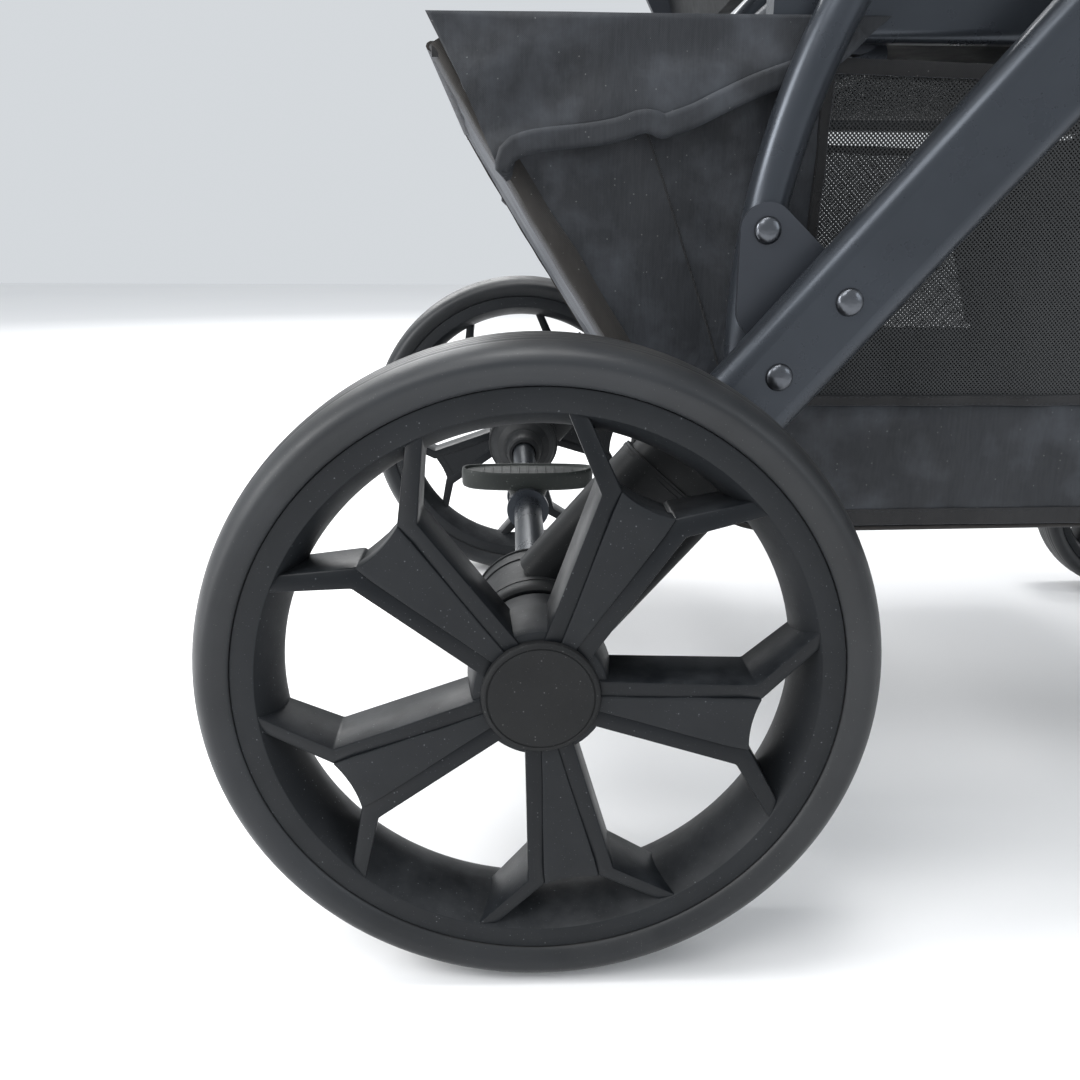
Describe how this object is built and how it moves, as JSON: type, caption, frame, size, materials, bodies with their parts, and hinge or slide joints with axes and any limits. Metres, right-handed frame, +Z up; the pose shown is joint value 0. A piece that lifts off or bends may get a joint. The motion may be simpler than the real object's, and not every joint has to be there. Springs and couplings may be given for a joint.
{
  "type": "baby stroller",
  "caption": "Folding baby stroller with large forked-spoke rear wheels, swivel front casters, reclining padded seat, folding canopy, bumper bar, foot brake and mesh storage basket.",
  "frame": {"origin": "middle of the bounding box at floor level", "axes": "+X forward, +Y to the stroller's left, +Z up"},
  "size_m": [0.805, 0.581, 1.0646],
  "materials": {
    "frame_metal": "satin grey-black paint on oval tube",
    "dark_plastic": "moulded matt charcoal plastic",
    "wheel_plastic": "moulded charcoal plastic with a soft sheen",
    "tyre": "dusty dark grey foam rubber",
    "seat_fabric": "woven charcoal cloth",
    "rivet": "dark glossy rivet heads",
    "pin_steel": "plain steel",
    "pedal_plastic": "dark green-grey plastic",
    "basket_cloth": "charcoal mesh and cloth",
    "webbing": "black woven webbing",
    "foam_cover": "black foam sleeve",
    "button_plastic": "red glossy button",
    "trigger_plastic": "grey moulded trigger"
  },
  "bodies": {
    "main_frame": {"front_leg_r": "frame_metal", "front_leg_l": "frame_metal", "hub_caps": "dark_plastic", "front_knuckles": "dark_plastic", "cross_tubes": "frame_metal", "footrest": "dark_plastic", "seat_rail_r": "frame_metal", "seat_rail_l": "frame_metal", "seat_pan": "dark_plastic", "seat_cushion": "seat_fabric", "recline_mount": "frame_metal", "basket": "basket_cloth", "seat_skirts": "seat_fabric", "bumper_sockets": "dark_plastic", "harness_lower": "webbing", "buckle": "dark_plastic"},
    "rear_frame": {"rear_leg_r": "frame_metal", "rear_leg_l": "frame_metal", "knuckle_r": "dark_plastic", "knuckle_l": "dark_plastic", "gussets": "frame_metal", "brace_r": "frame_metal", "brace_l": "frame_metal", "axle_tube": "frame_metal", "frame_rivets": "rivet"},
    "rear_wheel_r": {"tyre_rear_r": "tyre", "rim_rear_r": "wheel_plastic", "cap_rear_r": "wheel_plastic"},
    "rear_wheel_l": {"tyre_rear_l": "tyre", "rim_rear_l": "wheel_plastic", "cap_rear_l": "wheel_plastic"},
    "brake": {"brake_pedal": "pedal_plastic"},
    "brake_pin_right": {"brake_pin_r": "pin_steel"},
    "brake_pin_left": {"brake_pin_l": "pin_steel"},
    "caster_r": {"caster_fork_r": "dark_plastic"},
    "front_wheel_r": {"front_tyre_r": "tyre", "front_rim_r": "wheel_plastic"},
    "caster_l": {"caster_fork_l": "dark_plastic"},
    "front_wheel_l": {"front_tyre_l": "tyre", "front_rim_l": "wheel_plastic"},
    "handle": {"handle_tube_r": "frame_metal", "handle_tube_l": "frame_metal", "grip_bar": "frame_metal", "grip_foam": "foam_cover", "trigger_housing": "dark_plastic", "rear_bow": "dark_plastic", "canopy_rear_panel": "seat_fabric"},
    "trigger": {"fold_trigger": "trigger_plastic"},
    "canopy_mid": {"mid_bow": "dark_plastic", "canopy_front_panel": "seat_fabric"},
    "canopy_front": {"front_bow": "dark_plastic"},
    "back_carrier": {"recline_brackets": "frame_metal"},
    "backrest": {"back_board": "dark_plastic", "back_pad": "seat_fabric", "shoulder_straps": "webbing"},
    "leg_board": {"leg_rest": "seat_fabric"},
    "bumper": {"bumper_bar": "foam_cover"},
    "button": {"buckle_button": "button_plastic"}
  },
  "joints": [
    {"name": "fold", "type": "hinge", "parent": "main_frame", "child": "handle", "pos_m": [0.1045, 0, 0.563], "axis": [0, 1, 0], "range_deg": [0, 130]},
    {"name": "rear_fold", "type": "hinge", "parent": "main_frame", "child": "rear_frame", "pos_m": [0.1045, 0, 0.563], "axis": [0, -1, 0], "range_deg": [0, 37.8]},
    {"name": "rear_spin_r", "type": "hinge", "parent": "rear_frame", "child": "rear_wheel_r", "pos_m": [-0.2625, -0.266, 0.14], "axis": [0, 1, 0], "continuous": true},
    {"name": "rear_spin_l", "type": "hinge", "parent": "rear_frame", "child": "rear_wheel_l", "pos_m": [-0.2625, 0.266, 0.14], "axis": [0, 1, 0], "continuous": true},
    {"name": "brake_tilt", "type": "hinge", "parent": "rear_frame", "child": "brake", "pos_m": [-0.2625, 0, 0.14], "axis": [0, 1, 0], "range_deg": [0, 16]},
    {"name": "brake_pin_slide_r", "type": "slide", "parent": "rear_frame", "child": "brake_pin_right", "axis": [0, -1, 0], "range_m": [0, 0.008]},
    {"name": "brake_pin_slide_l", "type": "slide", "parent": "rear_frame", "child": "brake_pin_left", "axis": [0, 1, 0], "range_m": [0, 0.008]},
    {"name": "swivel_r", "type": "hinge", "parent": "main_frame", "child": "caster_r", "pos_m": [0.3375, -0.196, 0.23], "axis": [0, 0, 1], "continuous": true},
    {"name": "front_spin_r", "type": "hinge", "parent": "caster_r", "child": "front_wheel_r", "pos_m": [0.3075, -0.196, 0.095], "axis": [0, 1, 0], "continuous": true},
    {"name": "swivel_l", "type": "hinge", "parent": "main_frame", "child": "caster_l", "pos_m": [0.3375, 0.196, 0.23], "axis": [0, 0, 1], "continuous": true},
    {"name": "front_spin_l", "type": "hinge", "parent": "caster_l", "child": "front_wheel_l", "pos_m": [0.3075, 0.196, 0.095], "axis": [0, 1, 0], "continuous": true},
    {"name": "trigger_pull", "type": "slide", "parent": "handle", "child": "trigger", "axis": [-0.682, 0, 0.7314], "range_m": [0, 0.004], "stiffness_N_per_m": 500},
    {"name": "canopy_fold", "type": "hinge", "parent": "handle", "child": "canopy_mid", "pos_m": [-0.05236, 0, 0.73121], "axis": [0, -1, 0], "range_deg": [0, 46]},
    {"name": "canopy_front_fold", "type": "hinge", "parent": "canopy_mid", "child": "canopy_front", "pos_m": [-0.05236, 0, 0.73121], "axis": [0, -1, 0], "range_deg": [0, 46.1]},
    {"name": "back_fold", "type": "hinge", "parent": "main_frame", "child": "back_carrier", "pos_m": [-0.1325, 0, 0.43], "axis": [0, 1, 0], "range_deg": [0, 39.1]},
    {"name": "recline", "type": "hinge", "parent": "back_carrier", "child": "backrest", "pos_m": [-0.1325, 0, 0.43], "axis": [0, -1, 0], "range_deg": [0, 40]},
    {"name": "leg_rest_tilt", "type": "hinge", "parent": "main_frame", "child": "leg_board", "pos_m": [0.1485, 0, 0.404], "axis": [0, -1, 0], "range_deg": [0, 60]},
    {"name": "bumper_pull", "type": "slide", "parent": "main_frame", "child": "bumper", "axis": [0.9903, 0, 0.1392], "range_m": [0, 0.035]},
    {"name": "button_press", "type": "slide", "parent": "main_frame", "child": "button", "axis": [0, 0, -1], "range_m": [0, 0.0025], "stiffness_N_per_m": 400}
  ],
  "couplings": [
    {"joint": "rear_fold", "follows": "fold", "ratio": 0.29},
    {"joint": "back_fold", "follows": "fold", "ratio": 0.3},
    {"joint": "brake_pin_slide_r", "follows": "brake_tilt", "m_per_rad": 0.0286},
    {"joint": "brake_pin_slide_l", "follows": "brake_tilt", "m_per_rad": 0.0286},
    {"joint": "canopy_front_fold", "follows": "canopy_fold", "ratio": 1}
  ]
}
